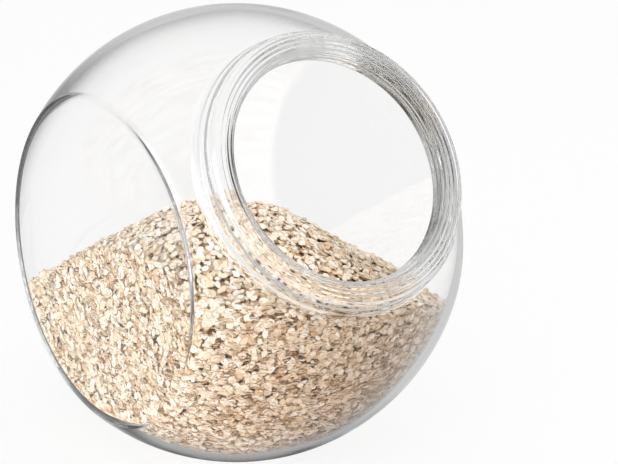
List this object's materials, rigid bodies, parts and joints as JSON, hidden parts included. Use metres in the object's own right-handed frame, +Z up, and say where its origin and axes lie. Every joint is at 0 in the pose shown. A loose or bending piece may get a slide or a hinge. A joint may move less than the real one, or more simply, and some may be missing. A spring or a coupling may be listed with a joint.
{
  "type": "storage jar",
  "caption": "Globe-shaped clear glass storage jar with flat round sides and a wide threaded neck, resting at a tilt so that dry food can be scooped out; holds rolled oats.",
  "frame": {"origin": "middle of the flat base that the jar rests on at its tilt, under the centre of the globe", "axes": "+Z up; the mouth faces -Y and leans upwards; the flat sides of the globe face +X and -X"},
  "size_m": [0.152, 0.2253, 0.2091],
  "materials": {
    "clear_glass": "clear moulded soda-lime glass, polished, faintly grey-green in thick places",
    "oats": "dry rolled oat flakes, matte cream and tan"
  },
  "bodies": {
    "root": {"glass_jar": "clear_glass", "rolled_oats": "oats"}
  },
  "joints": []
}
